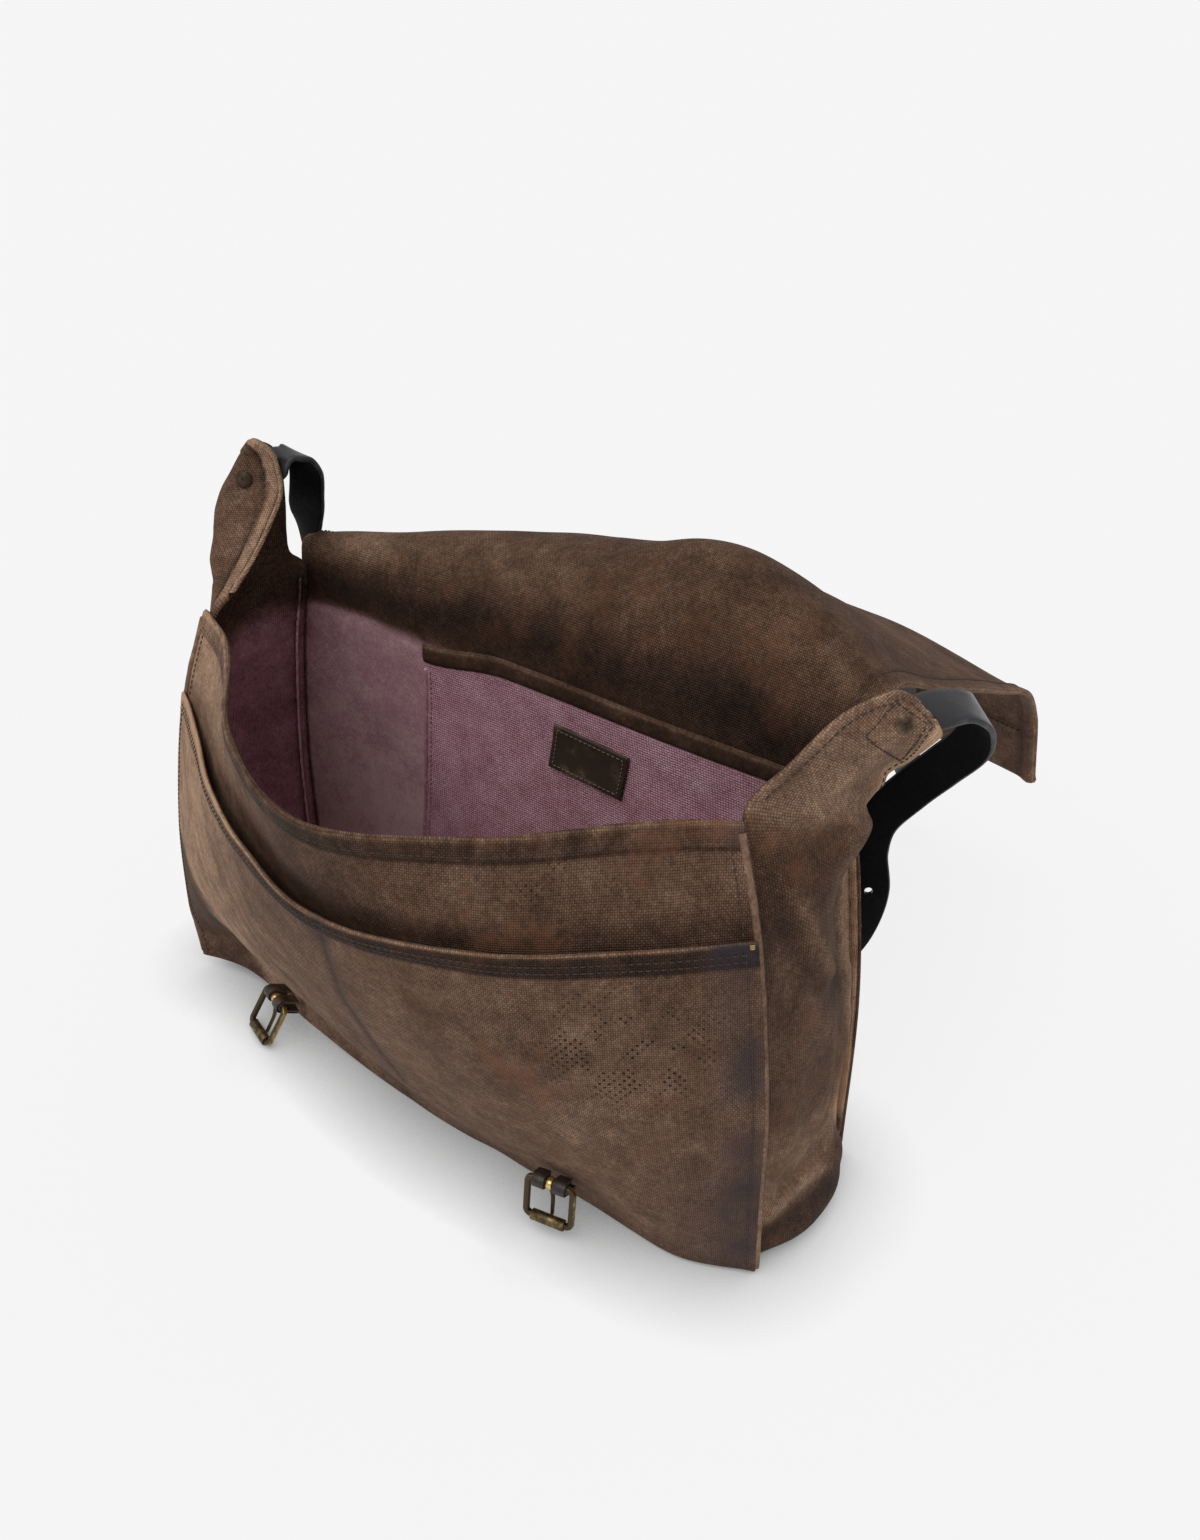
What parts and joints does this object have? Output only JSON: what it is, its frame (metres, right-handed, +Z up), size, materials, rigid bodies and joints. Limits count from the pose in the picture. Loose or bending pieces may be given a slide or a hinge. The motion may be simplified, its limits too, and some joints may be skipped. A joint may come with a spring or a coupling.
{
  "type": "messenger bag",
  "caption": "Waxed canvas messenger bag standing open with its flap thrown back, front pocket, inner pocket, leather shoulder strap and roller buckles on the front.",
  "frame": {"origin": "on the floor under the middle of the bag's base", "axes": "+Z up, -Y out of the bag's front, +X to the right seen from the front"},
  "size_m": [0.4432, 0.4732, 0.333],
  "materials": {
    "waxed_canvas": "waxed plain weave, worn",
    "inner_cloth": "plain weave, faded mauve",
    "binding_tape": "worn tape",
    "patch_leather": "dull, scuffed",
    "strap_leather": "smooth face, rough flesh side",
    "tab_leather": "oiled, rubbed",
    "rivet_brass": "dull antique",
    "buckle_brass": "antique, rubbed bright"
  },
  "bodies": {
    "bag": {"front_panel": "waxed_canvas", "front_pocket": "waxed_canvas", "back_and_flap": "waxed_canvas", "gusset_strip": "waxed_canvas", "inner_pocket": "inner_cloth", "inner_pocket_binding": "binding_tape", "label_patch": "patch_leather", "shoulder_strap": "strap_leather", "left_rivet": "rivet_brass", "right_rivet": "rivet_brass", "left_buckle_tab": "tab_leather", "right_buckle_tab": "tab_leather", "left_flap_strap": "tab_leather", "right_flap_strap": "tab_leather"},
    "left_buckle": {"left_buckle_frame": "buckle_brass"},
    "left_roller": {"left_buckle_roller": "buckle_brass"},
    "left_prong": {"left_buckle_prong": "buckle_brass"},
    "right_buckle": {"right_buckle_frame": "buckle_brass"},
    "right_roller": {"right_buckle_roller": "buckle_brass"},
    "right_prong": {"right_buckle_prong": "buckle_brass"}
  },
  "joints": [
    {"name": "left_buckle_swing", "type": "hinge", "parent": "bag", "child": "left_buckle", "pos_m": [-0.1234, -0.0614, 0.0239], "axis": [0.9305, -0.3663, 0], "range_deg": [-90, 5]},
    {"name": "left_prong_swing", "type": "hinge", "parent": "left_buckle", "child": "left_prong", "pos_m": [-0.1234, -0.0614, 0.0239], "axis": [0.9305, -0.3663, 0], "range_deg": [0, 15]},
    {"name": "left_roller_spin", "type": "hinge", "parent": "left_buckle", "child": "left_roller", "pos_m": [-0.12829, -0.07382, 0.00335], "axis": [0.9305, -0.3663, 0], "continuous": true},
    {"name": "right_buckle_swing", "type": "hinge", "parent": "bag", "child": "right_buckle", "pos_m": [0.099, -0.0842, 0.033], "axis": [0.9863, 0.1652, 0], "range_deg": [-90, 5]},
    {"name": "right_prong_swing", "type": "hinge", "parent": "right_buckle", "child": "right_prong", "pos_m": [0.099, -0.0842, 0.033], "axis": [0.9863, 0.1652, 0], "range_deg": [0, 15]},
    {"name": "right_roller_spin", "type": "hinge", "parent": "right_buckle", "child": "right_roller", "pos_m": [0.09961, -0.08783, 0.00878], "axis": [0.9863, 0.1652, 0], "continuous": true}
  ]
}
